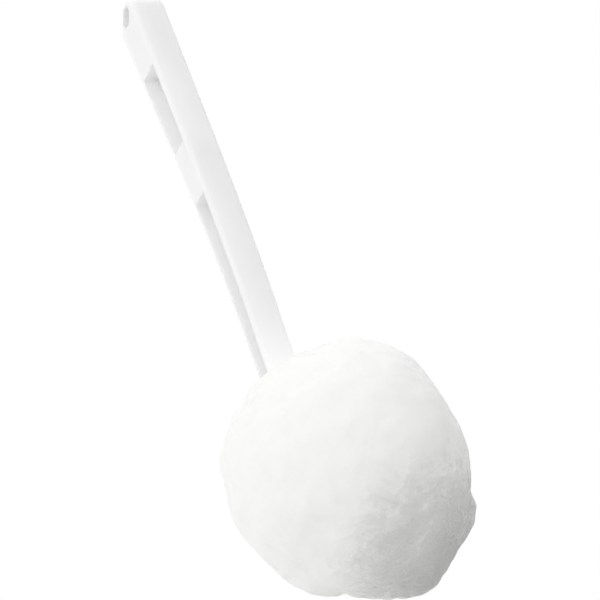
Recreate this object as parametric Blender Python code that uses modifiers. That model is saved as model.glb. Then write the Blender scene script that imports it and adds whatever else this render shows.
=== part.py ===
"""Toilet bowl mop: a moulded polypropylene handle and a ball of fibre hanks wired to its neck.

Metres, +Z up. The origin is the centre of the hang hole, so the mop hangs down -Z from a hook.
The plain front of the handle faces -Y. Its side pockets, its hang hole and its eye run along X.
"""

import math

import bmesh
import bpy
from mathutils import Matrix, Vector
from mathutils.geometry import interpolate_bezier

MM = 0.001

# Handle: the blade, from the hang hole down to the collar. A drop is a distance below the hang hole.
GRIP_DROP = 207 * MM
BLADE_DROP = 259 * MM
WIDTH_AT_HOLE = 17.3 * MM
WIDTH_AT_BALL = 15.9 * MM
DEPTH_AT_HOLE = 19.3 * MM
EDGE_ROUND = 1.9 * MM

# Handle: its depth, and how far its middle lies behind the hang hole. Both are polynomials of the share
# of the grip: the depth in depths at the hole, the middle in grip lengths. Inside the ball both stay put.
DEPTH_SHARES = (1, -0.5, 0.12)
MIDDLE_SHARES = (0.00304, -0.03014, -0.01976, 0.05024)
ARCH_END_SHARE = 1.03

# Handle: the tip, whose top slants down to the back above the slot of the hang hole
SLOT_WIDTH = 6.2 * MM
SLOT_LENGTH = 9.8 * MM
TIP_RIM = 1.6 * MM
TIP_SLANT = math.radians(45)
TIP_ROUND = 6.5 * MM
TIP_BACK_ROUND = 2.0 * MM

# Handle: the side pockets, whose web and flanges make an I section
WEB = 2.2 * MM
FLANGE = 2.4 * MM
POCKET_DROP = 35 * MM
POCKET_LENGTH = 47.5 * MM
BLOCK_LENGTH = 31 * MM
CHANNEL_END_WALL = 7 * MM
POCKET_ROUND = 0.8 * MM

# Handle: the hidden end that holds the fibre
COLLAR_RADIUS = 9 * MM
COLLAR_THICKNESS = 3 * MM
NECK_RADIUS = 4 * MM
NECK_LENGTH = 18 * MM
END_FLANGE_RADIUS = 8 * MM
END_FLANGE_THICKNESS = 3 * MM
FLANGE_ROUND = 0.8 * MM
LUG_LENGTH = 16.1 * MM
LUG_WIDTH = 12 * MM
LUG_THICKNESS = 7 * MM
EYE_RADIUS = 3.2 * MM

# Binding wire: turns wound round the waists of the hanks
WIRE_RADIUS = 0.6 * MM
WIRE_TURNS = 5
WIRE_PITCH = 2 * MM
WAIST = 3 * MM

# Fibre ball: eight hanks side by side and a crown that closes the end
BALL_RADIUS = 57.5 * MM
BALL_SHIFT = 15 * MM
BALL_FORWARD = 3.5 * MM
BALL_SAG = 2 * MM
HANKS = 8
FIRST_HANK_TURN = math.radians(-40)
LOBE_OFFSET = 14 * MM
LOBE_HEIGHT = 54 * MM
HANK_REACH_SHARES = (0.955, 0.98, 1.0, 1.0, 1.0, 1.005, 0.985, 1.03)
HANK_GAP = 0.4 * MM
CROWN_TILT = math.radians(17)
CROWN_SPREAD = math.radians(39.5)
CROWN_REACH = 63.5 * MM
CROWN_SEAT = 44 * MM
CROWN_ROUND = 8 * MM
ROOT_RADIUS = 7.7 * MM
ROOT_BEND = 9 * MM
ROOT_OVERLAP = 6 * MM
STRAND_RADIUS = 2.8 * MM
STRAND_REACH = 1 * MM

# Running values: the gap between touching pieces, the overrun of a cut, and how finely curves are cut
GAP = 0.3 * MM
OVERRUN = 2 * MM
WELD = 0.001 * MM
FLAT_ANGLE = math.radians(0.05)
SHARP_ANGLE = math.radians(35)
BLADE_STEPS = 12
CORNER_STEPS = 4
TIP_STEPS = 9
TURNED_STEPS = 32
EYE_STEPS = 20
LOBE_SEGMENTS = 28
LOBE_RINGS = 20
ROOT_POINTS = 8
LOOP_POINTS = 24

# Shade, roughness: white polypropylene, white acrylic tow and galvanised wire
WHITE_PLASTIC = ((0.86, 0.87, 0.87, 1.0), 0.38, 0.0)
WHITE_FIBRE = ((0.90, 0.90, 0.885, 1.0), 0.9, 0.0)
GALVANISED_WIRE = ((0.62, 0.63, 0.65, 1.0), 0.35, 1.0)

# Places worked out from the sizes above
SHANK_Y = GRIP_DROP * sum(share * ARCH_END_SHARE**power for power, share in enumerate(MIDDLE_SHARES))
COLLAR_TOP = -BLADE_DROP
NECK_TOP = COLLAR_TOP - COLLAR_THICKNESS
NECK_BOTTOM = NECK_TOP - NECK_LENGTH
LUG_TOP = NECK_BOTTOM - END_FLANGE_THICKNESS
LUG_BOTTOM = LUG_TOP - LUG_LENGTH
EYE_Z = LUG_BOTTOM + LUG_WIDTH / 2
TIE_Z = (NECK_TOP + NECK_BOTTOM) / 2
WIRE_COIL_RADIUS = NECK_RADIUS + WAIST + GAP + WIRE_RADIUS
BALL_CENTRE = Vector((BALL_SHIFT, SHANK_Y - BALL_FORWARD, TIE_Z - BALL_SAG))
CROWN_TURN = Matrix.Translation(BALL_CENTRE) @ Matrix.Rotation(-CROWN_TILT, 4, "Y")

# The side view: an outline's x runs along +Y and its y along +Z, and the thickness runs along X
SIDE_VIEW = Matrix(((0, 0, 1, 0), (1, 0, 0, 0), (0, 1, 0, 0), (0, 0, 0, 1)))


def clear_scene():
    for obj in list(bpy.data.objects):
        bpy.data.objects.remove(obj, do_unlink=True)


def make_collections():
    """The collection that holds the mop's pieces, and a hidden one for the shapes that cut or join them."""
    parts = bpy.data.collections.new("toilet_bowl_mop")
    cutters = bpy.data.collections.new("cutters")
    for collection in (parts, cutters):
        bpy.context.scene.collection.children.link(collection)
    cutters.hide_render = True
    return parts, cutters


def make_material(name, finish):
    colour, roughness, metallic = finish
    material = bpy.data.materials.new(name)
    material.use_nodes = True
    shader = material.node_tree.nodes["Principled BSDF"]
    shader.inputs["Base Color"].default_value = colour
    shader.inputs["Roughness"].default_value = roughness
    shader.inputs["Metallic"].default_value = metallic
    return material


def as_helper(obj):
    """Marks an object as a cutter: left out of the render and drawn as wire."""
    obj.hide_render = True
    obj.display_type = "WIRE"
    return obj


def add_boolean(obj, other, operation):
    modifier = obj.modifiers.new(operation.lower() + "_" + other.name, "BOOLEAN")
    modifier.object = other
    modifier.operation = operation
    modifier.solver = "EXACT"


def finish_piece(obj, material):
    """Gives a piece its material and smooth shading with crisp edges."""
    obj.data.materials.clear()
    obj.data.materials.append(material)
    if obj.type == "MESH":
        obj.data.shade_smooth()
        obj.data.set_sharp_from_angle(angle=SHARP_ANGLE)


def curve_to_mesh(guide, name, collection):
    """Turns a curve object into a welded mesh object at the same place and removes the curve."""
    bpy.context.view_layer.update()
    graph = bpy.context.evaluated_depsgraph_get()
    mesh = bpy.data.meshes.new_from_object(guide.evaluated_get(graph))
    place = guide.matrix_world.copy()
    bpy.data.objects.remove(guide, do_unlink=True)
    shape = bmesh.new()
    shape.from_mesh(mesh)
    bmesh.ops.remove_doubles(shape, verts=shape.verts, dist=WELD)
    bmesh.ops.dissolve_limit(shape, angle_limit=FLAT_ANGLE, verts=shape.verts, edges=shape.edges)
    bmesh.ops.recalc_face_normals(shape, faces=shape.faces)
    shape.to_mesh(mesh)
    shape.free()
    obj = bpy.data.objects.new(name, mesh)
    collection.objects.link(obj)
    obj.matrix_world = place
    return obj


def extruded_outline(name, outline, thickness, place, collection):
    """A flat closed outline given a thickness: a filled 2D curve, made a mesh."""
    data = bpy.data.curves.new(name + "_outline", "CURVE")
    data.dimensions = "2D"
    data.fill_mode = "BOTH"
    data.extrude = thickness / 2
    spline = data.splines.new("POLY")
    spline.points.add(len(outline) - 1)
    for point, (x, y) in zip(spline.points, outline):
        point.co = (x, y, 0, 1)
    spline.use_cyclic_u = True
    guide = bpy.data.objects.new(name + "_outline", data)
    collection.objects.link(guide)
    guide.matrix_world = place
    return curve_to_mesh(guide, name, collection)


def tube(name, points, radius, resolution, collection):
    """A round tube with flat caps along a list of points, as a curve object."""
    data = bpy.data.curves.new(name, "CURVE")
    data.dimensions = "3D"
    data.bevel_depth = radius
    data.bevel_resolution = resolution
    data.use_fill_caps = True
    spline = data.splines.new("POLY")
    spline.points.add(len(points) - 1)
    for point, place in zip(spline.points, points):
        point.co = (*place, 1)
    obj = bpy.data.objects.new(name, data)
    collection.objects.link(obj)
    return obj


def turned(name, profile, place, collection):
    """A turned solid: a profile of (radius, height) that runs from the axis, down its outside, to the axis."""
    mesh = bpy.data.meshes.new(name)
    points = [(radius, 0, height) for radius, height in profile]
    edges = [(i, i + 1) for i in range(len(points) - 1)]
    mesh.from_pydata(points, edges, [])
    obj = bpy.data.objects.new(name, mesh)
    collection.objects.link(obj)
    obj.matrix_world = place
    screw = obj.modifiers.new("turn", "SCREW")
    screw.axis = "Z"
    screw.angle = math.tau
    screw.steps = TURNED_STEPS
    screw.render_steps = TURNED_STEPS
    screw.use_merge_vertices = True
    screw.merge_threshold = WELD
    return obj


def corner_arc(before, corner, after, radius, steps):
    """The arc of this radius that rounds a corner of an outline, as a list of points."""
    to_before = (before - corner).normalized()
    to_after = (after - corner).normalized()
    half = to_before.angle(to_after) / 2
    centre = corner + (to_before + to_after).normalized() * (radius / math.sin(half))
    start = corner + to_before * (radius / math.tan(half)) - centre
    end = corner + to_after * (radius / math.tan(half)) - centre
    sweep = start.angle_signed(end)
    arc = []
    for step in range(steps + 1):
        turn = Matrix.Rotation(-sweep * step / steps, 2)
        arc.append(centre + turn @ start)
    return arc


def rounded_outline(corners, steps):
    """An outline whose corners are (point, radius). A radius of zero leaves the corner as it is."""
    outline = []
    for i, (point, radius) in enumerate(corners):
        before = corners[i - 1][0]
        after = corners[(i + 1) % len(corners)][0]
        if radius:
            outline += corner_arc(before, point, after, radius, steps)
        else:
            outline.append(point)
    return outline


def width_at(drop):
    return WIDTH_AT_HOLE + (WIDTH_AT_BALL - WIDTH_AT_HOLE) * drop / GRIP_DROP


def along_grip(shares, drop):
    """The value of a polynomial of the share of the grip. It stays as it is below the arch's end."""
    share = min(drop / GRIP_DROP, ARCH_END_SHARE)
    return sum(factor * share**power for power, factor in enumerate(shares))


def depth_at(drop):
    return DEPTH_AT_HOLE * along_grip(DEPTH_SHARES, drop)


def middle_at(drop):
    """How far behind the hang hole the blade's middle lies."""
    return GRIP_DROP * along_grip(MIDDLE_SHARES, drop)


def face_at(drop, side, inset):
    """A point of the front (side -1) or back (side 1) face, moved inwards by the inset."""
    return Vector((middle_at(drop) + side * (depth_at(drop) / 2 - inset), -drop))


def faces_between(top, bottom, inset):
    """The front face from the bottom up and the back face from the top down, as two lists of points."""
    drops = [top + (bottom - top) * step / BLADE_STEPS for step in range(BLADE_STEPS + 1)]
    front = [face_at(drop, -1, inset) for drop in reversed(drops)]
    back = [face_at(drop, 1, inset) for drop in drops]
    return front, back


def slant_height(y, grow):
    """The height of the tip's slanted face at this distance behind the hang hole."""
    reach = SLOT_WIDTH / 2 + TIP_RIM + grow
    return (reach - y * math.cos(TIP_SLANT)) / math.sin(TIP_SLANT)


def blade_outline(bottom, grow):
    """The blade's side view, grown outwards all round where it serves as a clearance."""
    front, back = faces_between(POCKET_DROP / 2, bottom, -grow)
    front_corner = face_at(0, -1, -grow)
    back_corner = face_at(0, 1, -grow)
    front_corner.y = slant_height(front_corner.x, grow)
    back_corner.y = slant_height(back_corner.x, grow)
    front_arc = corner_arc(front[-1], front_corner, back_corner, TIP_ROUND + grow, TIP_STEPS)
    back_arc = corner_arc(front_corner, back_corner, back[0], TIP_BACK_ROUND + grow, CORNER_STEPS)
    return front + front_arc + back_arc + back


def taper_width(obj, grow):
    """Draws a side-view extrusion in or out so that its width follows the blade's taper."""
    full = WIDTH_AT_HOLE + 2 * grow
    for vertex in obj.data.vertices:
        vertex.co.z *= (width_at(-vertex.co.y) + 2 * grow) / full


def make_blade(name, bottom, grow, collection):
    outline = blade_outline(bottom, grow)
    blade = extruded_outline(name, outline, WIDTH_AT_HOLE + 2 * grow, SIDE_VIEW, collection)
    taper_width(blade, grow)
    return blade


def make_pocket_cutter(name, top, bottom, collection):
    """A pocket between the flanges, cut in from one side of the blade down to the web."""
    front, back = faces_between(top, bottom, FLANGE)
    corners = [(front[0], POCKET_ROUND)]
    corners += [(point, 0) for point in front[1:-1]]
    corners += [(front[-1], POCKET_ROUND), (back[0], POCKET_ROUND)]
    corners += [(point, 0) for point in back[1:-1]]
    corners += [(back[-1], POCKET_ROUND)]
    thickness = (WIDTH_AT_HOLE - WEB) / 2 + OVERRUN
    outline = rounded_outline(corners, CORNER_STEPS)
    place = Matrix.Translation(((WEB + thickness) / 2, 0, 0)) @ SIDE_VIEW
    cutter = extruded_outline(name, outline, thickness, place, collection)
    mirror = cutter.modifiers.new("other_side", "MIRROR")
    mirror.use_axis = (False, False, True)
    mirror.mirror_object = bpy.data.objects["mould_parting"]
    mirror.merge_threshold = WELD
    return as_helper(cutter)


def make_parting_empty(collection):
    """An empty in the middle plane of the handle, lying as the side view does, for what mirrors across it."""
    empty = bpy.data.objects.new("mould_parting", None)
    collection.objects.link(empty)
    empty.matrix_world = SIDE_VIEW
    return empty


def stadium(length, width, turn, centre, steps):
    """A slot outline with round ends, its long way turned from the outline's x axis."""
    points = []
    for end in (1, -1):
        for step in range(steps + 1):
            angle = -math.pi / 2 + math.pi * step / steps
            x = end * ((length - width) / 2 + width / 2 * math.cos(angle))
            y = end * width / 2 * math.sin(angle)
            points.append(centre + Matrix.Rotation(turn, 2) @ Vector((x, y)))
    return points


def make_slot_cutter(collection):
    """The hang hole: a slot along the tip's slant, with the origin at its centre."""
    outline = stadium(SLOT_LENGTH, SLOT_WIDTH, TIP_SLANT - math.pi / 2, Vector((0, 0)), TIP_STEPS)
    thickness = WIDTH_AT_HOLE + 2 * OVERRUN
    return as_helper(extruded_outline("hang_slot_cut", outline, thickness, SIDE_VIEW, collection))


def rounded_disc(radius, top, bottom, round_radius):
    """The outer side of a disc with rounded rims, as (radius, height) points from top to bottom."""
    corners = [Vector((0, top)), Vector((radius, top)), Vector((radius, bottom)), Vector((0, bottom))]
    upper = corner_arc(corners[0], corners[1], corners[2], round_radius, CORNER_STEPS)
    lower = corner_arc(corners[1], corners[2], corners[3], round_radius, CORNER_STEPS)
    return upper + lower


def shank_profile(grow):
    """Collar, neck and end flange, grown outwards where the profile serves as a clearance."""
    collar = rounded_disc(COLLAR_RADIUS + grow, COLLAR_TOP + grow, NECK_TOP - grow, FLANGE_ROUND)
    end = rounded_disc(END_FLANGE_RADIUS + grow, NECK_BOTTOM + grow, LUG_TOP - grow, FLANGE_ROUND)
    profile = [(0, COLLAR_TOP + grow)]
    profile += [tuple(point) for point in collar]
    profile += [(NECK_RADIUS + grow, NECK_TOP - grow), (NECK_RADIUS + grow, NECK_BOTTOM + grow)]
    profile += [tuple(point) for point in end]
    profile += [(0, LUG_TOP - grow)]
    return profile


def lug_outline(grow):
    """The eyed lug's side view: parallel sides under the end flange and a round end."""
    half = LUG_WIDTH / 2 + grow
    top = LUG_TOP + END_FLANGE_THICKNESS / 2
    outline = [Vector((SHANK_Y - half, top)), Vector((SHANK_Y + half, top))]
    for step in range(EYE_STEPS // 2 + 1):
        angle = -math.pi * 2 * step / EYE_STEPS
        outline.append(Vector((SHANK_Y + half * math.cos(angle), EYE_Z + half * math.sin(angle))))
    return outline


def circle(radius, centre, steps):
    points = []
    for step in range(steps):
        angle = math.tau * step / steps
        points.append(centre + Vector((radius * math.cos(angle), radius * math.sin(angle))))
    return points


def make_handle(parts, cutters, material):
    handle = make_blade("handle", BLADE_DROP + COLLAR_THICKNESS / 2, 0, parts)
    bevel = handle.modifiers.new("edge_round", "BEVEL")
    bevel.width = EDGE_ROUND
    bevel.segments = 4
    bevel.limit_method = "ANGLE"
    bevel.angle_limit = SHARP_ANGLE
    bevel.use_clamp_overlap = False
    shank = turned("shank", shank_profile(0), Matrix.Translation((0, SHANK_Y, 0)), cutters)
    add_boolean(handle, as_helper(shank), "UNION")
    lug = extruded_outline("lug", lug_outline(0), LUG_THICKNESS, SIDE_VIEW, cutters)
    add_boolean(handle, as_helper(lug), "UNION")
    make_parting_empty(cutters)
    pocket_bottom = POCKET_DROP + POCKET_LENGTH
    channel_top = pocket_bottom + BLOCK_LENGTH
    channel_bottom = BLADE_DROP - CHANNEL_END_WALL
    add_boolean(handle, make_pocket_cutter("pocket_cut", POCKET_DROP, pocket_bottom, cutters), "DIFFERENCE")
    add_boolean(handle, make_pocket_cutter("channel_cut", channel_top, channel_bottom, cutters), "DIFFERENCE")
    add_boolean(handle, make_slot_cutter(cutters), "DIFFERENCE")
    eye_outline = circle(EYE_RADIUS, Vector((SHANK_Y, EYE_Z)), EYE_STEPS)
    eye = extruded_outline("eye_cut", eye_outline, LUG_THICKNESS + 2 * OVERRUN, SIDE_VIEW, cutters)
    add_boolean(handle, as_helper(eye), "DIFFERENCE")
    finish_piece(handle, material)
    return handle


def wire_points():
    """The centreline of the winding: an open helix round the waists of the hanks."""
    points = []
    length = WIRE_TURNS * WIRE_PITCH
    for step in range(WIRE_TURNS * LOOP_POINTS + 1):
        turns = step / LOOP_POINTS
        angle = math.tau * turns
        x = WIRE_COIL_RADIUS * math.cos(angle)
        y = SHANK_Y + WIRE_COIL_RADIUS * math.sin(angle)
        points.append(Vector((x, y, TIE_Z + length / 2 - WIRE_PITCH * turns)))
    return points


def least_gap(points):
    """The least clear distance between one loop of the winding and the next, measured on its points."""
    nearest = math.inf
    for i, point in enumerate(points):
        for other in points[i + LOOP_POINTS // 2:]:
            nearest = min(nearest, (point - other).length)
    return nearest - 2 * WIRE_RADIUS


def make_binding_wire(parts, material):
    points = wire_points()
    print("binding wire: least gap to itself", round(least_gap(points) / MM, 2), "mm")
    wire = tube("binding_wire", points, WIRE_RADIUS, 1, parts)
    finish_piece(wire, material)
    return wire


def crown_profile(grow):
    """The crown's cap about its own axis: a seat, a cone side, a rounded rim and a domed outside."""
    spread = CROWN_SPREAD + grow / CROWN_SEAT
    seat = CROWN_SEAT - grow
    reach = CROWN_REACH + grow
    chord_share = 0.7
    base = Vector((seat * math.sin(spread), -seat * math.cos(spread)))
    rim = Vector((reach * math.sin(spread), -reach * math.cos(spread)))
    dome_start = spread * chord_share
    dome = []
    for step in range(CORNER_STEPS * 2 + 1):
        angle = dome_start * (1 - step / (CORNER_STEPS * 2))
        dome.append(Vector((reach * math.sin(angle), -reach * math.cos(angle))))
    rim_arc = corner_arc(base, rim, dome[0], CROWN_ROUND, CORNER_STEPS)
    seat_arc = []
    for step in range(CORNER_STEPS):
        angle = spread * step / CORNER_STEPS
        seat_arc.append(Vector((seat * math.sin(angle), -seat * math.cos(angle))))
    return [tuple(point) for point in seat_arc + [base] + rim_arc + dome]


def root_points():
    """The gathered fibre's way from the end flange, past the lug, to the inside of the crown's cap."""
    start = Vector((0, SHANK_Y, (NECK_BOTTOM + LUG_TOP) / 2))
    leave = Vector((0, SHANK_Y, LUG_BOTTOM))
    arrive = BALL_CENTRE - Vector((0, 0, CROWN_SEAT + ROOT_OVERLAP))
    bend = Vector((0, 0, ROOT_BEND))
    return [start, *interpolate_bezier(leave, leave - bend, arrive + bend, arrive, ROOT_POINTS)]


def make_root(name, grow, cutters):
    guide = tube(name + "_guide", root_points(), ROOT_RADIUS + grow, 3, cutters)
    return as_helper(curve_to_mesh(guide, name, cutters))


def make_shank_rooms(cutters):
    """What all the fibre is cut clear of: the collar, neck and end flange, and the lug."""
    shank_place = Matrix.Translation((0, SHANK_Y, 0))
    lug_thickness = LUG_THICKNESS + 2 * GAP
    shank_room = turned("shank_room", shank_profile(GAP), shank_place, cutters)
    lug_room = extruded_outline("lug_room", lug_outline(GAP), lug_thickness, SIDE_VIEW, cutters)
    return [as_helper(shank_room), as_helper(lug_room)]


def make_crown(parts, cutters, shank_rooms, material):
    """The end hank: a cap and its gathered root, threaded through the eye of the lug."""
    crown = turned("head_crown", crown_profile(0), CROWN_TURN, parts)
    add_boolean(crown, make_root("crown_root", 0, cutters), "UNION")
    for room in shank_rooms:
        add_boolean(crown, room, "DIFFERENCE")
    strand_outline = circle(STRAND_RADIUS, Vector((SHANK_Y, EYE_Z)), EYE_STEPS)
    length = LUG_THICKNESS + 2 * STRAND_REACH
    strand = extruded_outline("eye_strand", strand_outline, length, SIDE_VIEW, cutters)
    add_boolean(crown, as_helper(strand), "UNION")
    finish_piece(crown, material)
    return crown


def make_core_rooms(cutters):
    """What the hanks are cut clear of besides the shank: the blade, the winding, and the crown."""
    winding_half = (WIRE_TURNS * WIRE_PITCH) / 2 + WIRE_RADIUS + GAP
    inner = NECK_RADIUS + WAIST
    outer = WIRE_COIL_RADIUS + WIRE_RADIUS + GAP
    ring = [
        (inner, TIE_Z + winding_half),
        (outer, TIE_Z + winding_half),
        (outer, TIE_Z - winding_half),
        (inner, TIE_Z - winding_half),
        (inner, TIE_Z + winding_half),
    ]
    rooms = [
        make_blade("blade_room", BLADE_DROP + COLLAR_THICKNESS / 2, GAP, cutters),
        turned("winding_room", ring, Matrix.Translation((0, SHANK_Y, 0)), cutters),
        turned("crown_room", crown_profile(HANK_GAP), CROWN_TURN, cutters),
        make_root("root_room", HANK_GAP, cutters),
    ]
    return [as_helper(obj) for obj in rooms]


def valley(i):
    """Where the cleft before hank i meets the ball's outside, seen from above."""
    angle = FIRST_HANK_TURN + math.tau * (i - 0.5) / HANKS
    return BALL_CENTRE.xy + BALL_RADIUS * Vector((math.cos(angle), math.sin(angle)))


def make_wedge(i, cutters):
    """The sector of the ball that belongs to hank i, drawn from the shank's axis between its two clefts."""
    axis = Vector((0, SHANK_Y))
    left = (valley(i) - axis).normalized()
    right = (valley(i + 1) - axis).normalized()
    middle = (left + right).normalized()
    half = left.angle(right) / 2
    apex = axis + middle * (HANK_GAP / 2 / math.sin(half))
    far = 2 * BALL_RADIUS + BALL_SHIFT
    outline = [apex, apex + left * far, apex + right * far]
    height = 2 * (BALL_RADIUS + LOBE_HEIGHT)
    place = Matrix.Translation((0, 0, BALL_CENTRE.z))
    return as_helper(extruded_outline(f"wedge_{i + 1}", outline, height, place, cutters))


def make_lobe(name, centre, radius, collection):
    """An upright ellipsoid, as round as the ball's side and as tall as the ball."""
    mesh = bpy.data.meshes.new(name)
    shape = bmesh.new()
    bmesh.ops.create_uvsphere(shape, u_segments=LOBE_SEGMENTS, v_segments=LOBE_RINGS, radius=1)
    size = Matrix.Diagonal((radius, radius, LOBE_HEIGHT, 1))
    bmesh.ops.transform(shape, matrix=size, verts=shape.verts)
    shape.to_mesh(mesh)
    shape.free()
    lobe = bpy.data.objects.new(name, mesh)
    lobe.location = centre
    collection.objects.link(lobe)
    return lobe


def make_hank(i, parts, cutters, rooms, material):
    """One hank: a lobe of the ball kept within its sector and cut clear of what lies inside the ball."""
    angle = FIRST_HANK_TURN + math.tau * i / HANKS
    out = Vector((math.cos(angle), math.sin(angle), 0))
    reach = BALL_RADIUS * HANK_REACH_SHARES[i % len(HANK_REACH_SHARES)]
    centre = BALL_CENTRE + out * LOBE_OFFSET
    hank = make_lobe(f"head_hank_{i + 1}", centre, reach - LOBE_OFFSET, parts)
    add_boolean(hank, make_wedge(i, cutters), "INTERSECT")
    for room in rooms:
        add_boolean(hank, room, "DIFFERENCE")
    finish_piece(hank, material)
    return hank


def main():
    clear_scene()
    parts, cutters = make_collections()
    plastic = make_material("white_polypropylene", WHITE_PLASTIC)
    fibre = make_material("white_fibre", WHITE_FIBRE)
    wire = make_material("galvanised_wire", GALVANISED_WIRE)
    make_handle(parts, cutters, plastic)
    make_binding_wire(parts, wire)
    shank_rooms = make_shank_rooms(cutters)
    make_crown(parts, cutters, shank_rooms, fibre)
    rooms = shank_rooms + make_core_rooms(cutters)
    for i in range(HANKS):
        make_hank(i, parts, cutters, rooms, fibre)


main()
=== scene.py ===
"""Looks of the toilet bowl mop: a moulded polypropylene handle, its end buried in a ball of white fibre.

Everything is in metres in the frame of the CAD part. The origin is the centre of the hang hole, +Z runs up
the handle, and the plain front of the handle faces -Y.
"""

import logging
import math
from dataclasses import dataclass, field
from enum import Enum

import bmesh
import bpy
from mathutils import Matrix, Vector, noise
from mathutils.bvhtree import BVHTree
from mathutils.kdtree import KDTree

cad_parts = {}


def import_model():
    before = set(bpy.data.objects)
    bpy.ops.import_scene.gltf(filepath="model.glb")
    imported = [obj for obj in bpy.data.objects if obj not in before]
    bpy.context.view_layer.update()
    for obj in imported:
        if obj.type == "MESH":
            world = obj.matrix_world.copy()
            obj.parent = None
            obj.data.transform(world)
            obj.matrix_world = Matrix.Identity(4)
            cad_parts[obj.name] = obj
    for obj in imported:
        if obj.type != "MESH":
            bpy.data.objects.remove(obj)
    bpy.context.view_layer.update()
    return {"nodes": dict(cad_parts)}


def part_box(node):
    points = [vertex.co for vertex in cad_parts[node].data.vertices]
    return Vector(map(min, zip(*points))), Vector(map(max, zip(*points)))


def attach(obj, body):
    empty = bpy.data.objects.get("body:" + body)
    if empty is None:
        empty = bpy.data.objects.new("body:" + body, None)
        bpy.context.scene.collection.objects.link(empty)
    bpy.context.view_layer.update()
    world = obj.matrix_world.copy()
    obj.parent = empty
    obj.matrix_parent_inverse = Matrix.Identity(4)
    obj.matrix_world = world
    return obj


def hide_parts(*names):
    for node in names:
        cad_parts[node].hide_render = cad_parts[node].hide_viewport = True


MM = 0.001
WELD_MM = 0.0005
BODY = "root"
LOG = logging.getLogger("bowl_mop")
Tree = bpy.types.NodeTree
Node = bpy.types.Node
Socket = bpy.types.NodeSocket


class Slot(Enum):
    """Names for two material slots, polypropylene and fibre; the pieces here make their own materials."""

    POLYPROPYLENE = "polypropylene"
    FIBRE = "fibre"


def linear(hex_colour: str) -> tuple[float, float, float, float]:
    """Turns an sRGB hex colour to a linear one.

    Args:
        hex_colour: Six hexadecimal digits after a hash.

    Returns:
        Red, green, blue and an alpha of one.
    """
    parts = [int(hex_colour[i : i + 2], 16) / 255 for i in (1, 3, 5)]
    red, green, blue = (c / 12.92 if c <= 0.04045 else ((c + 0.055) / 1.055) ** 2.4 for c in parts)
    return red, green, blue, 1.0


def feed(node: Node, inputs: dict) -> None:
    """Fills a node's inputs.

    Args:
        node: The node.
        inputs: Input names or numbers, each with a value or the output socket it is linked from.
    """
    for key, value in inputs.items():
        if isinstance(value, Socket):
            node.id_data.links.new(value, node.inputs[key])
        else:
            node.inputs[key].default_value = value


def add_node(tree: Tree, kind: str, inputs: dict | None = None, **settings: object) -> Node:
    """Adds a node with its settings and links.

    Args:
        tree: The node tree it goes into.
        kind: The node's type name.
        inputs: What its inputs are filled with, as for feed.
        **settings: Properties of the node itself.

    Returns:
        The new node.
    """
    node = tree.nodes.new(kind)
    for name, value in settings.items():
        setattr(node, name, value)
    feed(node, inputs or {})
    return node


def maths(tree: Tree, operation: str, *values: float | Socket) -> Socket:
    """Adds a node that works out a number from others."""
    return add_node(tree, "ShaderNodeMath", dict(enumerate(values)), operation=operation).outputs[0]


def vector_maths(tree: Tree, operation: str, *values: tuple | Socket) -> Socket:
    """Adds a node that works out a vector from others."""
    return add_node(tree, "ShaderNodeVectorMath", dict(enumerate(values)), operation=operation).outputs[0]


def scaled(tree: Tree, vector: Socket, factor: float | Socket) -> Socket:
    """Adds a node that makes a vector some times as long."""
    return add_node(tree, "ShaderNodeVectorMath", {0: vector, "Scale": factor}, operation="SCALE").outputs[0]


def facing(tree: Tree, way: Socket, side: Vector | Socket) -> Socket:
    """Adds a node that tells how far one unit direction points the same way as another."""
    dot = add_node(tree, "ShaderNodeVectorMath", {0: way, 1: side}, operation="DOT_PRODUCT")
    return dot.outputs["Value"]


def remapped(tree: Tree, value: Socket, span: tuple, onto: tuple, interpolation: str = "LINEAR") -> Socket:
    """Adds a node that maps a value from one span on to another and holds it at the ends.

    Args:
        tree: The node tree it goes into.
        value: The value.
        span: The ends of the span that it comes from.
        onto: What they become, as numbers or sockets.
        interpolation: How the values between follow.

    Returns:
        The mapped value.
    """
    inputs = {"Value": value, "From Min": span[0], "From Max": span[1], "To Min": onto[0], "To Max": onto[1]}
    return add_node(tree, "ShaderNodeMapRange", inputs, interpolation_type=interpolation).outputs["Result"]


def cloudy(tree: Tree, place: Socket, size_mm: float, detail: float) -> Socket:
    """Adds a noise whose clouds are about as large as said, and gives its strength."""
    inputs = {"Vector": place, "Scale": 1 / (size_mm * MM), "Detail": detail}
    return add_node(tree, "ShaderNodeTexNoise", inputs).outputs["Fac"]


def tinted(tree: Tree, share: Socket, shade: str, colour: str) -> Socket:
    """Adds a node that goes from the shade to the colour, both sRGB hex colours, as the share grows."""
    inputs = {"Factor": share, 6: linear(shade), 7: linear(colour)}
    return add_node(tree, "ShaderNodeMix", inputs, data_type="RGBA").outputs[2]


def bumped(tree: Tree, height: Socket, depth_mm: float, **under: Socket) -> Socket:
    """Adds a bump, over the Normal of another where one is given, and gives the normal that it makes."""
    inputs = {"Height": height, "Strength": 1.0, "Distance": depth_mm * MM, **under}
    return add_node(tree, "ShaderNodeBump", inputs).outputs["Normal"]


def new_material(name: str) -> tuple[bpy.types.Material, Tree, Node]:
    """Makes a material.

    Args:
        name: Its name.

    Returns:
        The material, its node tree and the shader node in it.
    """
    material = bpy.data.materials.new(name)
    material.use_nodes = True
    return material, material.node_tree, material.node_tree.nodes["Principled BSDF"]


def new_object(name: str, data: bpy.types.ID) -> bpy.types.Object:
    """Puts a new object into the scene.

    Args:
        name: Its name.
        data: Its mesh, camera or light.

    Returns:
        The object, at the origin.
    """
    thing = bpy.data.objects.new(name, data)
    bpy.context.scene.collection.objects.link(thing)
    return thing


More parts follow.
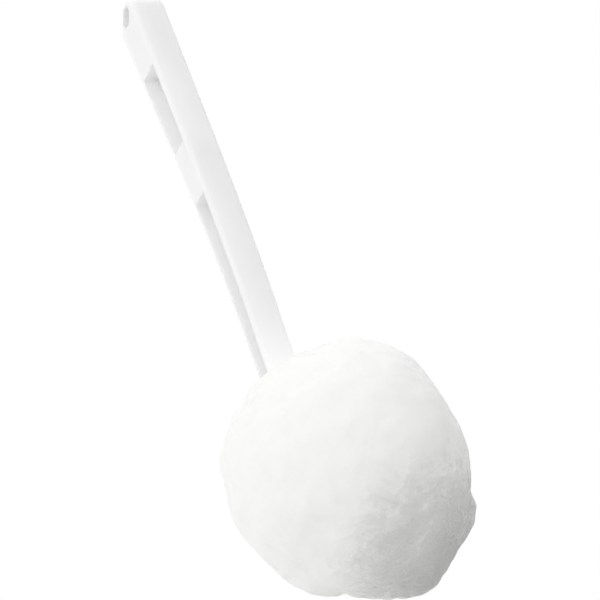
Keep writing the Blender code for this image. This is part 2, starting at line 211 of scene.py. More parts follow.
def merged_copy(node: bpy.types.Object, name: str) -> bpy.types.Object:
    """Copies a CAD node's mesh into a new object with its triangles joined up.

    Args:
        node: The CAD node.
        name: The new piece's name.

    Returns:
        The new object, at the origin, with smooth faces and no material.
    """
    shape = bmesh.new()
    shape.from_mesh(node.data)
    bmesh.ops.remove_doubles(shape, verts=shape.verts, dist=WELD_MM * MM)
    mesh = bpy.data.meshes.new(name)
    shape.to_mesh(mesh)
    shape.free()
    mesh.shade_smooth()
    return new_object(name, mesh)


def evaluated_mesh(source: bpy.types.Object) -> bpy.types.Mesh:
    """Turns an object with its modifiers into a plain mesh.

    Args:
        source: The object.

    Returns:
        The new mesh.
    """
    bpy.context.view_layer.update()
    graph = bpy.context.evaluated_depsgraph_get()
    return bpy.data.meshes.new_from_object(source.evaluated_get(graph))


@dataclass(frozen=True)
class MouldedPolypropylene:
    """White injection-moulded polypropylene: a satin, slightly waxy skin from a polished steel mould."""

    name: str = "moulded_white_polypropylene"
    colour: str = "#FBFBFB"
    shade: str = "#F7F7F8"
    roughness: float = 0.36
    roughness_spread: float = 0.05
    ior: float = 1.49
    glow: float = 0.8
    glow_mm: float = 4.0
    ripple_mm: float = 9.0
    ripple_detail: float = 2.0
    ripple_depth_mm: float = 0.02
    skin_mm: float = 0.5
    skin_detail: float = 3.0
    skin_depth_mm: float = 0.006

    def make(self) -> bpy.types.Material:
        """Builds the material.

        Returns:
            The material, whose sink ripple and mould skin follow Object coordinates.
        """
        material, tree, shader = new_material(self.name)
        place = add_node(tree, "ShaderNodeTexCoord").outputs["Object"]
        # Cooling leaves the plastic a little uneven in shade and height over about a centimetre.
        ripple = cloudy(tree, place, self.ripple_mm, self.ripple_detail)
        # The skin copies the fine polishing marks of the mould.
        skin = cloudy(tree, place, self.skin_mm, self.skin_detail)
        gloss = self.roughness - self.roughness_spread, self.roughness + self.roughness_spread
        broad = bumped(tree, ripple, self.ripple_depth_mm)
        looks = {
            "Base Color": tinted(tree, ripple, self.shade, self.colour),
            "Roughness": remapped(tree, skin, (0.0, 1.0), gloss),
            "Normal": bumped(tree, skin, self.skin_depth_mm, Normal=broad),
            "IOR": self.ior,
            # Thin white polypropylene passes light on inside, which lifts its recesses.
            "Subsurface Weight": self.glow,
            "Subsurface Radius": (1.0, 1.0, 1.0),
            "Subsurface Scale": self.glow_mm * MM,
        }
        feed(shader, looks)
        return material


@dataclass(frozen=True)
class SpunFibre:
    """White acrylic fibre, crimped and fluffed out, with matt strands."""

    name: str = "fluffed_white_acrylic_fibre"
    colour: str = "#FFFFFE"
    shade: str = "#FCFCFB"
    shade_from: float = 0.12
    shade_to: float = 0.4
    roughness: float = 0.85
    specular: float = 0.2
    tuft_mm: float = 7.0
    strand_mm: float = 0.8
    detail: float = 2.0
    nap_depth_mm: float = 0.06

    def make(self) -> bpy.types.Material:
        """Builds the material.

        Returns:
            The material, whose shade drifts from tuft to tuft and from strand to strand.
        """
        material, tree, shader = new_material(self.name)
        place = add_node(tree, "ShaderNodeTexCoord").outputs["Object"]
        tufts = cloudy(tree, place, self.tuft_mm, self.detail)
        strands = cloudy(tree, place, self.strand_mm, self.detail)
        both = maths(tree, "MULTIPLY", tufts, strands)
        drift = remapped(tree, both, (self.shade_from, self.shade_to), (0.0, 1.0))
        looks = {
            "Base Color": tinted(tree, drift, self.shade, self.colour),
            "Roughness": self.roughness,
            "Specular IOR Level": self.specular,
            # Between the loose strands the fibre mat has a fine nap.
            "Normal": bumped(tree, strands, self.nap_depth_mm),
        }
        feed(shader, looks)
        return material


@dataclass(frozen=True)
class GalvanisedWire:
    """Galvanised tying wire: dull zinc drawn round and fine."""

    name: str = "galvanised_tying_wire"
    colour: str = "#B9BCBF"
    smoothest: float = 0.3
    roughest: float = 0.48
    spangle_mm: float = 1.5

    def make(self) -> bpy.types.Material:
        """Builds the material.

        Returns:
            The material, whose zinc spangle varies the gloss.
        """
        material, tree, shader = new_material(self.name)
        place = add_node(tree, "ShaderNodeTexCoord").outputs["Object"]
        pattern = {"Vector": place, "Scale": 1 / (self.spangle_mm * MM)}
        spangle = add_node(tree, "ShaderNodeTexVoronoi", pattern).outputs["Distance"]
        gloss = remapped(tree, spangle, (0.0, 1.0), (self.smoothest, self.roughest))
        feed(shader, {"Base Color": linear(self.colour), "Metallic": 1.0, "Roughness": gloss})
        return material


@dataclass(frozen=True)
class View:
    """The direction in which the photograph looks, in degrees."""

    azimuth: float = -33.49
    elevation: float = -33.18
    roll: float = 21.46

    def axes(self) -> tuple[Vector, Vector, Vector]:
        """Works out the picture's axes.

        Returns:
            The picture's right, its up, and the way back to the camera.
        """
        a, e, t = (math.radians(angle) for angle in (self.azimuth, self.elevation, self.roll))
        back = Vector((math.sin(a) * math.cos(e), -math.cos(a) * math.cos(e), math.sin(e)))
        level = Vector((math.cos(a), math.sin(a), 0))
        rise = back.cross(level)
        right = level * math.cos(t) - rise * math.sin(t)
        up = level * math.sin(t) + rise * math.cos(t)
        return right, up, back

    def direction(self, across: float, above: float, ahead: float) -> Vector:
        """Turns a direction in the picture into one in the frame."""
        right, up, back = self.axes()
        return right * across + up * above + back * ahead


@dataclass
class HandleMoulding:
    """The handle: the CAD solid with its sharp rims broken, as a mould leaves them."""

    node: bpy.types.Object
    finish: MouldedPolypropylene
    rim_mm: float = 0.3
    rim_steps: int = 2
    flat_degrees: float = 0.3
    sharp_degrees: float = 32.0

    def build(self) -> bpy.types.Object:
        """Builds the handle from a copy of its CAD node.

        Returns:
            The finished piece.
        """
        piece = merged_copy(self.node, "handle_moulding")
        shape = bmesh.new()
        shape.from_mesh(piece.data)
        flat = math.radians(self.flat_degrees)
        bmesh.ops.dissolve_limit(shape, angle_limit=flat, verts=shape.verts, edges=shape.edges)
        shape.to_mesh(piece.data)
        shape.free()
        sharp = math.radians(self.sharp_degrees)
        piece.data.set_sharp_from_angle(angle=sharp)
        rims = piece.modifiers.new("broken_rims", "BEVEL")
        rims.width = self.rim_mm * MM
        rims.segments = self.rim_steps
        rims.limit_method = "ANGLE"
        rims.angle_limit = sharp
        rims.harden_normals = True
        rims.use_clamp_overlap = True
        piece.data.materials.append(self.finish.make())
        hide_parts("handle")
        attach(piece, BODY)
        return piece


@dataclass(frozen=True)
class Outline:
    """The ball's outline in the photograph: how far it reaches at even steps round the picture.

    The first step points to the picture's right and the others go round by the bottom.
    """

    view: View
    reaches_mm: tuple[float, ...]
    depth_degrees: float = 18.0

    def pull(self, direction: Vector, reach: float) -> float:
        """Draws the outside to the outline where it shows as the outline, and less and less beside it.

        Args:
            direction: The unit direction from the ball's centre.
            reach: The reach there in metres before.

        Returns:
            The reach in metres.
        """
        right, up, back = self.view.axes()
        count = len(self.reaches_mm)
        turn = math.atan2(-direction.dot(up), direction.dot(right)) / math.tau * count
        step = math.floor(turn)
        share = turn - step
        share = share * share * (3 - 2 * share)
        before, after = self.reaches_mm[step % count], self.reaches_mm[(step + 1) % count]
        wanted = (before * (1 - share) + after * share) * MM
        aside = math.degrees(math.asin(min(max(direction.dot(back), -1.0), 1.0)))
        return reach + (wanted - reach) * math.exp(-((aside / self.depth_degrees) ** 2))


@dataclass(frozen=True)
class Crease:
    """A fold in the ball's outside that runs through unit directions, each with its depth in millimetres."""

    path: tuple[tuple[Vector, float], ...]
    width_degrees: float

    def rise(self, direction: Vector) -> float:
        """Tells how far the fold sinks the outside in a direction.

        Args:
            direction: The unit direction from the ball's centre.

        Returns:
            The rise in metres, which is less than nothing.
        """
        deepest = 0.0
        for (start, depth), (end, next_depth) in zip(self.path, self.path[1:]):
            run = end - start
            share = min(max((direction - start).dot(run) / run.length_squared, 0.0), 1.0)
            angle = math.degrees((start + run * share).angle(direction, 0.0))
            here = depth + (next_depth - depth) * share
            deepest = max(deepest, here * math.exp(-((angle / self.width_degrees) ** 2)))
        return -deepest * MM


@dataclass(frozen=True)
class Dent:
    """A soft hollow in the ball's outside."""

    direction: Vector
    depth_mm: float
    spread_degrees: float

    def rise(self, direction: Vector) -> float:
        """Tells how far the hollow sinks the outside in a direction, as a rise in metres."""
        angle = math.degrees(self.direction.angle(direction, 0.0))
        return -self.depth_mm * MM * math.exp(-((angle / self.spread_degrees) ** 2))


@dataclass
class BallOutside:
    """The smooth outside that the fluffed fibre takes over the hanks' solids.

    It is sampled along evenly spread directions: the solids' outermost reach, averaged over a wide round so
    that the fibre closes over the gaps between the hanks. Then it is drawn to the outline, gets a low relief
    of clumps, and keeps the folds that stay open.
    """

    nodes: list[bpy.types.Object]
    centre: Vector
    outline: Outline
    folds: list[Crease | Dent]
    samples: int = 3000
    far: float = 0.13
    least_reach_mm: float = 50.0
    blend_degrees: float = 30.0
    crest_mm: float = 4.0
    neighbours: int = 5
    softness: float = 0.0004
    relief_mm: float = 0.8
    relief_size_mm: float = 14.0
    relief_fall: float = 1.5
    relief_ratio: float = 2.0
    relief_octaves: int = 3

    def __post_init__(self) -> None:
        """Samples the solids once."""
        points, faces, self.face_owners = [], [], []
        for number, node in enumerate(self.nodes):
            first = len(points)
            points += [vertex.co.copy() for vertex in node.data.vertices]
            faces += [[first + i for i in face.vertices] for face in node.data.polygons]
            self.face_owners += [number] * len(node.data.polygons)
        self.solids = BVHTree.FromPolygons(points, faces)
        directions, reaches = [], []
        for i in range(self.samples):
            height = 1 - 2 * (i + 0.5) / self.samples
            turn = math.pi * (3 - math.sqrt(5)) * i
            ring = math.sqrt(1 - height * height)
            direction = Vector((ring * math.cos(turn), ring * math.sin(turn), height))
            hit = self.solids.ray_cast(self.centre + direction * self.far, -direction)
            reach = self.far - hit[3] if hit[0] else 0.0
            if reach > self.least_reach_mm * MM:
                directions.append(direction)
                reaches.append(reach)
        self.lookup = KDTree(len(directions))
        for i, direction in enumerate(directions):
            self.lookup.insert(direction, i)
        self.lookup.balance()
        self.reaches = [self.blended(direction, reaches) for direction in directions]

    def owner(self, direction: Vector) -> int:
        """Tells which solid reaches furthest out in a direction.

        Args:
            direction: The unit direction from the ball's centre.

        Returns:
            The solid's number in the list of nodes.
        """
        start = self.centre + direction * self.far
        hit = self.solids.ray_cast(start, -direction)
        if hit[0] is None:
            hit = self.solids.find_nearest(start)
        return self.face_owners[hit[2]]

    def blended(self, direction: Vector, reaches: list[float]) -> float:
        """Averages the reach round a direction, in favour of what stands out furthest.

        Args:
            direction: The unit direction from the ball's centre.
            reaches: The solids' reach in every sampled direction.

        Returns:
            The reach in metres.
        """
        near = self.lookup.find_range(direction, 2 * math.sin(math.radians(self.blend_degrees)))
        highest = max(reaches[i] for _, i, _ in near)
        total = weights = 0.0
        for _, i, apart in near:
            angle = math.degrees(2 * math.asin(min(apart / 2, 1.0)))
            weight = math.exp(-((2 * angle / self.blend_degrees) ** 2))
            weight *= math.exp((reaches[i] - highest) / (self.crest_mm * MM))
            total += weight * reaches[i]
            weights += weight
        return total / weights

    def reach(self, direction: Vector) -> float:
        """Tells how far the ball reaches in a direction.

        Args:
            direction: The unit direction from the ball's centre.

        Returns:
            The reach in metres.
        """
        total = weights = 0.0
        for _, i, apart in self.lookup.find_n(direction, self.neighbours):
            weight = 1 / (apart * apart + self.softness)
            total += weight * self.reaches[i]
            weights += weight
        reach = self.outline.pull(direction, total / weights)
        place = direction * reach / (self.relief_size_mm * MM)
        clump = noise.fractal(place, self.relief_fall, self.relief_ratio, self.relief_octaves)
        return reach + self.relief_mm * MM * clump + sum(fold.rise(direction) for fold in self.folds)


@dataclass
class Skin:
    """The ball's outside as a fine net of triangles, each of which belongs to the tuft that shows there."""

    outside: BallOutside
    fineness: int = 7
    thickness_mm: float = 7.0
    inset_mm: float = 0.3
    passes: int = 3

    def __post_init__(self) -> None:
        """Lays out the net and shares it among the tufts."""
        net = bmesh.new()
        bmesh.ops.create_icosphere(net, subdivisions=self.fineness, radius=1.0)
        net.verts.index_update()
        directions = [vertex.co.normalized() for vertex in net.verts]
        self.faces = [tuple(vertex.index for vertex in face.verts) for face in net.faces]
        net.free()
        centre = self.outside.centre
        reaches = [self.outside.reach(direction) for direction in directions]
        self.upper = [centre + d * (r - self.inset_mm * MM) for d, r in zip(directions, reaches)]
        self.lower = [centre + d * (r - self.thickness_mm * MM) for d, r in zip(directions, reaches)]
        middles = [sum((directions[i] for i in face), Vector()).normalized() for face in self.faces]
        self.owners = [self.outside.owner(middle) for middle in middles]
        for _ in range(self.passes):
            self.even_out()

    def whole(self) -> bpy.types.Object:
        """Makes the whole skin an object.

        Returns:
            The object, which serves only for strands to settle on.
        """
        mesh = bpy.data.meshes.new("ball_skin")
        mesh.from_pydata(self.upper, [], self.faces)
        return new_object("ball_skin", mesh)

    def even_out(self) -> None:
        """Gives each triangle to the tuft that owns most of what surrounds it."""
        counts = [{} for _ in self.upper]
        for face, owner in zip(self.faces, self.owners):
            for i in face:
                counts[i][owner] = counts[i].get(owner, 0) + 1
        for number, face in enumerate(self.faces):
            total = {}
            for i in face:
                for owner, count in counts[i].items():
                    total[owner] = total.get(owner, 0) + count
            self.owners[number] = max(sorted(total), key=total.get)

    def patch(self, owner: int) -> tuple[list[Vector], list[tuple[int, ...]], int]:
        """Cuts out one tuft's part of the skin as a closed plate.

        Args:
            owner: The tuft's number.

        Returns:
            The points, the faces, and how many of the faces lie outside; these come first.
        """
        mine = [face for face, number in zip(self.faces, self.owners) if number == owner]
        used = sorted({i for face in mine for i in face})
        top = {i: place for place, i in enumerate(used)}
        bottom = {i: place + len(used) for place, i in enumerate(used)}
        points = [self.upper[i] for i in used] + [self.lower[i] for i in used]
        faces = [tuple(top[i] for i in face) for face in mine]
        faces += [tuple(bottom[i] for i in reversed(face)) for face in mine]
        edges = {(face[i], face[(i + 1) % 3]) for face in mine for i in range(3)}
        rim = sorted(edge for edge in edges if (edge[1], edge[0]) not in edges)
        faces += [(top[b], top[a], bottom[a], bottom[b]) for a, b in rim]
        return points, faces, len(mine)


@dataclass
class FibreTree:
    """The node tree that lays strands over a tuft: short loops, close to its outside and crimped."""

    material: bpy.types.Material
    name: str = "lay_fibre"
    strand_steps: int = 10
    strand_sides: int = 3
    flatness: float = 0.6
    smallest: float = 0.6
    largest: float = 1.3
    loose_from: float = 0.6
    loose_to: float = 1.0
    crimp_detail: float = 1.0
    ray: float = 0.12
    inputs: dict[str, str] = field(default_factory=dict)

    def __post_init__(self) -> None:
        """Builds the tree once and keeps its inputs' identifiers by their names."""
        self.tree = bpy.data.node_groups.new(self.name, "GeometryNodeTree")
        wanted = {
            "Tuft": "NodeSocketGeometry",
            "Ball Skin": "NodeSocketObject",
            "Ball Centre": "NodeSocketVector",
            "Strands per Square Metre": "NodeSocketFloat",
            "Strand Length": "NodeSocketFloat",
            "Strand Radius": "NodeSocketFloat",
            "Bend": "NodeSocketFloat",
            "Arch": "NodeSocketFloat",
            "Root Depth": "NodeSocketFloat",
            "Loose Side": "NodeSocketVector",
            "Looseness": "NodeSocketFloat",
            "Crimp": "NodeSocketFloat",
            "Crimp Size": "NodeSocketFloat",
            "Seed": "NodeSocketInt",
        }
        for label, kind in wanted.items():
            socket = self.tree.interface.new_socket(label, in_out="INPUT", socket_type=kind)
            self.inputs[label] = socket.identifier
        self.tree.interface.new_socket("Tuft", in_out="OUTPUT", socket_type="NodeSocketGeometry")
        self.given = self.add("NodeGroupInput").outputs
        strands = self.strands()
        joined = self.add("GeometryNodeJoinGeometry")
        self.tree.links.new(self.given["Tuft"], joined.inputs[0])
        self.tree.links.new(strands, joined.inputs[0])
        real = self.add("GeometryNodeRealizeInstances", {"Geometry": joined.outputs[0]})
        dress = {"Geometry": real.outputs[0], "Material": self.material}
        dressed = self.add("GeometryNodeSetMaterial", dress)
        self.add("NodeGroupOutput", {0: dressed.outputs[0]})

    def add(self, kind: str, inputs: dict | None = None, **settings: object) -> Node:
        """Adds a node to the tree, as add_node does."""
        return add_node(self.tree, kind, inputs, **settings)

    def outward(self) -> Socket:
        """Works out the direction from the ball's centre through a point."""
        spoke = vector_maths(self.tree, "SUBTRACT", self.place(), self.given["Ball Centre"])
        return vector_maths(self.tree, "NORMALIZE", spoke)

    def place(self) -> Socket:
        """Reads where a point is."""
        return self.add("GeometryNodeInputPosition").outputs[0]

    def chance(self, low: float, high: float) -> Socket:
        """Draws a number for every strand."""
        inputs = {2: low, 3: high, "Seed": self.given["Seed"]}
        return self.add("FunctionNodeRandomValue", inputs, data_type="FLOAT").outputs[1]

    def loosened(self, measure: str) -> Socket:
        """Grows a measure by degrees towards the loose side of the ball.

        Args:
            measure: The name of the input that gives it for the tight side.

        Returns:
            The measure at each point, which reaches Looseness times as much on the loose side.
        """
        side = facing(self.tree, self.outward(), self.given["Loose Side"])
        growth = 1.0, self.given["Looseness"]
        times = remapped(self.tree, side, (self.loose_from, self.loose_to), growth, "SMOOTHSTEP")
        return maths(self.tree, "MULTIPLY", self.given[measure], times)

    def roots(self) -> Socket:
        """Scatters the middles of the strands over the outside of the tuft.

        Returns:
            The points.
        """
        outside = self.add("GeometryNodeInputNamedAttribute", {"Name": "outside"}, data_type="BOOLEAN")
        inputs = {
            "Mesh": self.given["Tuft"],
            "Selection": outside.outputs[0],
            "Density": self.loosened("Strands per Square Metre"),
            "Seed": self.given["Seed"],
        }
        return self.add("GeometryNodeDistributePointsOnFaces", inputs).outputs["Points"]

    def loop(self) -> Socket:
        """Draws one strand as a flat bow.

        Returns:
            The strand as a curve along X, bent towards Y.
        """
        half = maths(self.tree, "MULTIPLY", self.given["Strand Length"], 0.5)
        back = maths(self.tree, "MULTIPLY", half, -1.0)
        side = maths(self.tree, "MULTIPLY", self.given["Bend"], 2.0)
        inputs = {"Resolution": self.strand_steps}
        for end, axis, measure in (("Start", "X", back), ("Middle", "Y", side), ("End", "X", half)):
            inputs[end] = self.add("ShaderNodeCombineXYZ", {axis: measure}).outputs[0]
        return self.add("GeometryNodeCurveQuadraticBezier", inputs).outputs[0]

    def heading(self) -> Socket:
        """Turns each strand to lie on the ball, any way round.

        Returns:
            The rotation of every strand.
        """
        upright = self.add("FunctionNodeAlignRotationToVector", {"Vector": self.outward()}, axis="Z")
        turn = {"Axis": (0, 0, 1), "Angle": self.chance(0.0, math.tau)}
        spin = self.add("FunctionNodeAxisAngleToRotation", turn)
        inputs = {"Rotation": upright.outputs[0], "Rotate By": spin.outputs[0]}
        return self.add("FunctionNodeRotateRotation", inputs, rotation_space="LOCAL").outputs[0]

    def section(self) -> Socket:
        """Draws the section of a strand.

        Returns:
            A flattened section of radius one, with one flat side outwards.
        """
        sides = {"Resolution": self.strand_sides, "Radius": 1.0}
        drawn = self.add("GeometryNodeCurvePrimitiveCircle", sides).outputs[0]
        turned = {"Geometry": drawn, "Rotation": (0, 0, math.pi), "Scale": (self.flatness, 1, 1)}
        return self.add("GeometryNodeTransform", turned).outputs[0]

    def strands(self) -> Socket:
        """Lays a strand at every scattered point, crimps it and lets it settle.

        Returns:
            The strands as closed threads with flat sides.
        """
        laid = {
            "Points": self.roots(),
            "Instance": self.loop(),
            "Rotation": self.heading(),
            "Scale": self.chance(self.smallest, self.largest),
        }
        instances = self.add("GeometryNodeInstanceOnPoints", laid).outputs[0]
        real = self.add("GeometryNodeRealizeInstances", {"Geometry": instances}).outputs[0]
        path = {"Curve": self.settle(self.crimp(real)), "Normal": self.outward()}
        thread = {
            "Curve": self.add("GeometryNodeSetCurveNormal", path, mode="FREE").outputs[0],
            "Profile Curve": self.section(),
            "Scale": self.loosened("Strand Radius"),
            "Fill Caps": True,
        }
        threads = self.add("GeometryNodeCurveToMesh", thread).outputs[0]
        faceted = {"Geometry": threads, "Shade Smooth": False}
        return self.add("GeometryNodeSetShadeSmooth", faceted).outputs[0]

    def crimp(self, curves: Socket) -> Socket:
        """Pushes the strands' points about, so that they wave.

        Args:
            curves: The strands as laid.

        Returns:
            The crimped strands.
        """
        scale = maths(self.tree, "DIVIDE", 1.0, self.given["Crimp Size"])
        pattern = {"Vector": self.place(), "Scale": scale, "Detail": self.crimp_detail}
        swirl = self.add("ShaderNodeTexNoise", pattern).outputs["Color"]
        both_ways = vector_maths(self.tree, "SUBTRACT", swirl, (0.5, 0.5, 0.5))
        offset = scaled(self.tree, both_ways, self.given["Crimp"])
        return self.add("GeometryNodeSetPosition", {"Geometry": curves, "Offset": offset}).outputs[0]

    def settle(self, curves: Socket) -> Socket:
        """Drops the strands on to the ball's skin, their middles a little proud and their ends dipped in.

        Args:
            curves: The crimped strands.

        Returns:
            The settled strands.
        """
        target = {"Object": self.given["Ball Skin"]}
        skin = self.add("GeometryNodeObjectInfo", target, transform_space="RELATIVE")
        outward = self.outward()
        away = scaled(self.tree, outward, self.ray)
        ray = {
            "Target Geometry": skin.outputs["Geometry"],
            "Source Position": vector_maths(self.tree, "ADD", self.given["Ball Centre"], away),
            "Ray Direction": scaled(self.tree, outward, -1.0),
            "Ray Length": self.ray,
        }
        cast = self.add("GeometryNodeRaycast", ray)
        along = self.add("GeometryNodeSplineParameter").outputs["Factor"]
        centred = maths(self.tree, "MULTIPLY_ADD", along, 2.0, -1.0)
        square = maths(self.tree, "MULTIPLY", centred, centred)
        arch = self.loosened("Arch")
        fall = maths(self.tree, "ADD", arch, self.given["Root Depth"])
        height = maths(self.tree, "SUBTRACT", arch, maths(self.tree, "MULTIPLY", square, fall))
        lift = scaled(self.tree, outward, height)
        move = {
            "Geometry": curves,
            "Selection": cast.outputs["Is Hit"],
            "Position": vector_maths(self.tree, "ADD", cast.outputs["Hit Position"], lift),
        }
        return self.add("GeometryNodeSetPosition", move).outputs[0]


@dataclass
class FibreBall:
    """The ball: eight hanks side by side and a crown, each a soft body covered with strands.

    Directions are in the picture: its right, its up and the way back to the camera. Each stop of the crease
    has a direction and the depth in millimetres there.
    """

    nodes: dict[str, bpy.types.Object]
    finish: SpunFibre
    centre: Vector
    view: View
    outline_mm: tuple[float, ...] = (
        54.7, 52.9, 56.0, 59.9, 61.9, 61.6, 61.6, 62.7, 64.1, 66.3, 66.4, 65.0,
        62.5, 60.0, 58.8, 57.9, 58.6, 59.5, 60.2, 59.6, 58.6, 57.4, 57.5, 56.8,
        56.8, 57.3, 57.6, 57.3, 57.1, 57.8, 58.8, 59.0, 58.3, 57.3, 57.7, 56.0,
        56.9, 57.1, 56.9, 56.8, 56.6, 56.5, 56.3, 57.3, 57.8, 58.9, 58.7, 58.5,
        58.2, 57.8, 57.2, 55.7, 54.3, 53.4, 52.9, 53.0, 53.3, 53.8, 54.1, 54.4,
    )
    crease_stops: tuple[tuple[float, float, float, float], ...] = (
        (0.83, -0.09, 0.55, 0.0),
        (0.92, -0.165, 0.355, 1.3),
        (0.977, -0.213, 0.0, 2.2),
        (0.93, -0.32, -0.19, 2.0),
        (0.84, -0.42, -0.34, 1.8),
        (0.71, -0.56, -0.43, 1.8),
        (0.55, -0.69, -0.47, 1.8),
        (0.38, -0.81, -0.43, 1.8),
        (0.22, -0.91, -0.34, 2.0),
        (0.08, -0.98, -0.19, 2.4),
        (-0.01, -1.0, 0.0, 3.4),
        (-0.03, -0.95, 0.25, 1.8),
        (-0.06, -0.85, 0.5, 0.0),
    )
    crease_degrees: float = 2.6
    dent_side: tuple[float, float, float] = (0.41, -0.5, 0.76)
    dent_mm: float = 3.0
    dent_degrees: float = 17.0
    hanks: int = 8
    voxel_mm: float = 1.8
    soften_share: float = 0.5
    soften_steps: int = 6
    tucked_mm: float = 3.0
    sharp_degrees: float = 45.0
    strand_length_mm: float = 10.0
    strand_radius_mm: float = 0.03
    bend_mm: float = 2.5
    arch_mm: float = 0.125
    root_depth_mm: float = 0.08
    crimp_mm: float = 4.0
    crimp_size_mm: float = 2.6
    strands_per_square_metre: float = 130000.0
    looseness: float = 4.2
    loose_side: tuple[float, float, float] = (0.6, -0.55, 0.58)

    def build(self) -> list[bpy.types.Object]:
        """Builds every tuft of the ball.

        Returns:
            The finished pieces.
        """
        names = [f"head_hank_{i}" for i in range(1, self.hanks + 1)] + ["head_crown"]
        outline = Outline(self.view, self.outline_mm)
        solids = [self.nodes[name] for name in names]
        skin = Skin(BallOutside(solids, self.centre, outline, self.folds()))
        fibre = FibreTree(self.finish.make())
        whole = skin.whole()
        pieces = []
        for number, name in enumerate(names):
            pieces.append(self.tuft(name, self.body(name, number, skin), whole, number, fibre))
        bpy.data.objects.remove(whole, do_unlink=True)
        return pieces

    def folds(self) -> list[Crease | Dent]:
        """Places the fold round the crown's hidden side and the flattened side low on the picture's right.

        Returns:
            The folds.
        """
        path = tuple((self.view.direction(*stop[:3]).normalized(), stop[3]) for stop in self.crease_stops)
        dent = Dent(self.view.direction(*self.dent_side), self.dent_mm, self.dent_degrees)
        return [Crease(path, self.crease_degrees), dent]

    def tuft(
        self, node: str, body: bpy.types.Object, skin: bpy.types.Object, seed: int, fibre: FibreTree
    ) -> bpy.types.Object:
        """Covers one tuft's body with strands.

        Args:
            node: The CAD node that it replaces.
            body: The tuft's soft body, which is used up.
            skin: The whole ball's skin, which the strands settle on.
            seed: What its strands are scattered by.
            fibre: The strands' node tree.

        Returns:
            The finished piece.
        """
        grow = body.modifiers.new("fibre", "NODES")
        grow.node_group = fibre.tree
        values = {
            "Ball Skin": skin,
            "Ball Centre": self.centre,
            "Strands per Square Metre": self.strands_per_square_metre,
            "Strand Length": self.strand_length_mm * MM,
            "Strand Radius": self.strand_radius_mm * MM,
            "Bend": self.bend_mm * MM,
            "Arch": self.arch_mm * MM,
            "Root Depth": self.root_depth_mm * MM,
            "Loose Side": self.view.direction(*self.loose_side).normalized(),
            "Looseness": self.looseness,
            "Crimp": self.crimp_mm * MM,
            "Crimp Size": self.crimp_size_mm * MM,
            "Seed": seed,
        }
        for label, value in values.items():
            grow[fibre.inputs[label]] = value
        piece = new_object(f"fluffed_{node.removeprefix('head_')}", evaluated_mesh(body))
        bpy.data.objects.remove(body, do_unlink=True)
        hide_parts(node)
        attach(piece, BODY)
        LOG.info("%s: %d faces", piece.name, len(piece.data.polygons))
        return piece

    def body(self, node: str, number: int, skin: Skin) -> bpy.types.Object:
        """Makes the soft body of a tuft: its part of the ball's skin, and its CAD solid rounded beneath it.

        Args:
            node: The CAD node.
            number: The tuft's number in the skin.
            skin: The ball's skin.

        Returns:
            The body, with the attribute outside on its faces: true where strands lie.
        """
        draft = merged_copy(self.nodes[node], node + "_draft")
        remesh = draft.modifiers.new("even", "REMESH")
        remesh.mode = "VOXEL"
        remesh.voxel_size = self.voxel_mm * MM
        soften = draft.modifiers.new("soften", "SMOOTH")
        soften.factor = self.soften_share
        soften.iterations = self.soften_steps
        core = evaluated_mesh(draft)
        bpy.data.objects.remove(draft, do_unlink=True)
        points, faces, shown = skin.patch(number)
        first = len(points)
        for vertex in core.vertices:
            spoke = vertex.co - self.centre
            reach = skin.outside.reach(spoke.normalized()) - self.tucked_mm * MM
            points.append(self.centre + spoke * min(1.0, reach / spoke.length))
        faces += [tuple(first + i for i in face.vertices) for face in core.polygons]
        bpy.data.meshes.remove(core)
        mesh = bpy.data.meshes.new(node + "_body")
        mesh.from_pydata(points, [], faces)
        mesh.shade_smooth()
        mesh.set_sharp_from_angle(angle=math.radians(self.sharp_degrees))
        outer = mesh.attributes.new("outside", "BOOLEAN", "FACE")
        outer.data.foreach_set("value", [i < shown for i in range(len(faces))])
        return new_object(node + "_body", mesh)


@dataclass
class BindingWire:
    """The wire that ties the hanks into the handle's neck, out of sight inside the ball."""

    node: bpy.types.Object
    finish: GalvanisedWire

    def dress(self) -> bpy.types.Object:
        """Gives the CAD node its finish.

        Returns:
            The CAD node.
        """
        self.node.data.materials.clear()
        self.node.data.materials.append(self.finish.make())
        return self.node


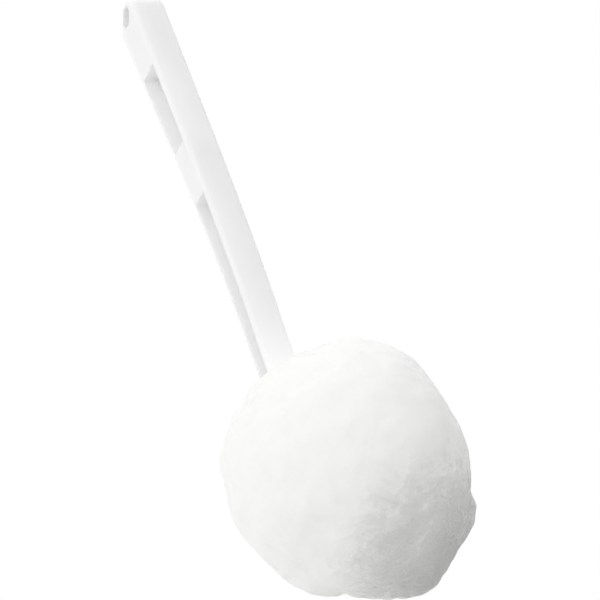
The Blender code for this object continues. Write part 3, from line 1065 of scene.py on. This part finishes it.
@dataclass
class Studio:
    """Camera, light, white surroundings and floor.

    Lengths are in metres unless a name says otherwise. Places and directions are in the picture: its right,
    its up and the way back to the camera.
    """

    view: View
    distance: float = 3.0
    aim_right_mm: float = 74.91
    aim_up_mm: float = -134.35
    pixels_per_mm: float = 2.1054
    image_pixels: int = 600
    sensor_mm: float = 36.0
    nearest: float = 0.1
    farthest: float = 30.0
    key_place: tuple[float, float, float] = (1.07, 0.9, 1.67)
    key_size: float = 1.6
    key_watts: float = 4.2
    open_side: tuple[float, float, float] = (0.72, -0.604, 0.342)
    open_from: float = 0.4
    open_to: float = 0.6
    tent: float = 0.99
    opening: float = 0.07
    floor_drop: float = 4.6
    floor_size: float = 4.0
    floor_colour: str = "#FCFCFC"
    floor_roughness: float = 0.95

    def target(self) -> Vector:
        """Finds the point at the picture's centre."""
        return self.view.direction(self.aim_right_mm, self.aim_up_mm, 0.0) * MM

    def camera(self) -> None:
        """Sets up the camera at the photograph's angle."""
        right, up, back = self.view.axes()
        data = bpy.data.cameras.new("camera")
        data.sensor_width = self.sensor_mm
        data.lens = data.sensor_width * self.pixels_per_mm * self.distance / MM / self.image_pixels
        data.clip_start = self.nearest
        data.clip_end = self.farthest
        camera = new_object("camera", data)
        turn = Matrix((right, up, back)).transposed().to_4x4()
        camera.matrix_world = Matrix.Translation(self.target() + back * self.distance) @ turn
        bpy.context.scene.camera = camera

    def key_light(self) -> None:
        """Sets up one large soft light in front, above and to the right, aimed at the picture's centre."""
        data = bpy.data.lights.new("key_light", "AREA")
        data.shape = "SQUARE"
        data.size = self.key_size
        data.energy = self.key_watts
        lamp = new_object("key_light", data)
        offset = self.view.direction(*self.key_place)
        lamp.location = self.target() + offset
        lamp.rotation_mode = "QUATERNION"
        lamp.rotation_quaternion = offset.to_track_quat("Z", "Y")

    def surroundings(self) -> None:
        """Sets up a white light tent that is open on one side, below and to the picture's right."""
        world = bpy.data.worlds.new("white_light_tent")
        bpy.context.scene.world = world
        world.use_nodes = True
        tree = world.node_tree
        tree.nodes.clear()
        way = add_node(tree, "ShaderNodeTexCoord").outputs["Generated"]
        side = facing(tree, way, self.view.direction(*self.open_side).normalized())
        light = remapped(tree, side, (self.open_from, self.open_to), (self.tent, self.opening))
        # The camera and what mirrors or passes the surroundings see them plain white.
        path = add_node(tree, "ShaderNodeLightPath").outputs
        seen = maths(tree, "MAXIMUM", path["Is Camera Ray"], path["Is Glossy Ray"])
        shown = maths(tree, "MAXIMUM", seen, path["Is Transmission Ray"])
        strength = remapped(tree, shown, (0.0, 1.0), (light, 1.0))
        white = add_node(tree, "ShaderNodeBackground", {"Color": (1, 1, 1, 1), "Strength": strength})
        add_node(tree, "ShaderNodeOutputWorld", {"Surface": white.outputs[0]})

    def floor(self) -> bpy.types.Object:
        """Lays the pale floor. The mop hangs well above it, and the photograph looks up past it.

        Returns:
            The floor.
        """
        half = self.floor_size / 2
        mesh = bpy.data.meshes.new("floor")
        corners = [(-half, -half), (half, -half), (half, half), (-half, half)]
        mesh.from_pydata([(x, y, -self.floor_drop) for x, y in corners], [], [(0, 1, 2, 3)])
        floor = new_object("floor", mesh)
        material, _, shader = new_material("painted_white_floor")
        feed(shader, {"Base Color": linear(self.floor_colour), "Roughness": self.floor_roughness})
        floor.data.materials.append(material)
        return floor


def ball_centre(nodes: dict[str, bpy.types.Object]) -> Vector:
    """Finds the ball's centre, which is the middle of the box round the hanks' CAD nodes.

    Args:
        nodes: The CAD nodes by name.

    Returns:
        The centre.
    """
    low = Vector((math.inf,) * 3)
    high = -low
    for name in nodes:
        if name.startswith("head_hank"):
            lowest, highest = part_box(name)
            low = Vector(map(min, low, lowest))
            high = Vector(map(max, high, highest))
    return (low + high) / 2


def main() -> None:
    """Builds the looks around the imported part."""
    logging.basicConfig(level=logging.INFO, format="%(name)s: %(message)s")
    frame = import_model()
    nodes = frame["nodes"]
    bpy.context.scene.view_settings.view_transform = "Standard"
    view = View()
    studio = Studio(view)
    studio.camera()
    studio.key_light()
    studio.surroundings()
    studio.floor()
    handle = HandleMoulding(nodes["handle"], MouldedPolypropylene()).build()
    wire = BindingWire(nodes["binding_wire"], GalvanisedWire()).dress()
    LOG.info("%s and %s", handle.name, wire.name)
    centre = ball_centre(nodes)
    LOG.info("ball centre %s", [round(c / MM, 1) for c in centre])
    FibreBall(nodes, SpunFibre(), centre, view).build()


if __name__ == "__main__":
    main()
